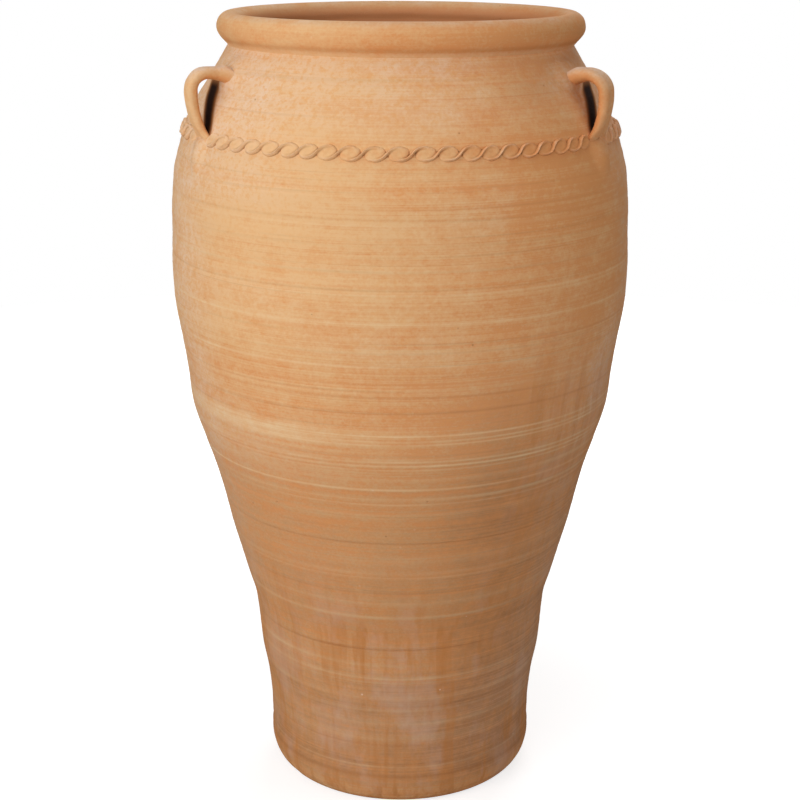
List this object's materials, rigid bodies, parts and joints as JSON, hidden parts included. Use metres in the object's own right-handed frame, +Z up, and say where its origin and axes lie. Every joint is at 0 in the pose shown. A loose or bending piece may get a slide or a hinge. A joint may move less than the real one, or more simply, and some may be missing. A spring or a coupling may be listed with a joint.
{
  "type": "storage jar",
  "caption": "Tall terracotta pithos: a swelling jar on a narrow rounded foot, with a rolled rim, strap handles on the shoulder and thumb-pressed rope bands.",
  "frame": {"origin": "middle of the underside, at the lower end of the drain hole", "axes": "+Z up out of the mouth; -Y is the front, between two of the three handles; +X is the jar's right as seen from the front"},
  "size_m": [0.6377, 0.6378, 1.1],
  "materials": {
    "terracotta": "matte, unglazed"
  },
  "bodies": {
    "root": {"floor_disc": "terracotta", "foot_course": "terracotta", "lower_course": "terracotta", "middle_course": "terracotta", "belly_course": "terracotta", "shoulder_course": "terracotta", "rim_roll": "terracotta", "handle_left": "terracotta", "handle_right": "terracotta", "handle_back": "terracotta", "rope_band_front": "terracotta", "rope_band_left": "terracotta", "rope_band_right": "terracotta"}
  },
  "joints": []
}
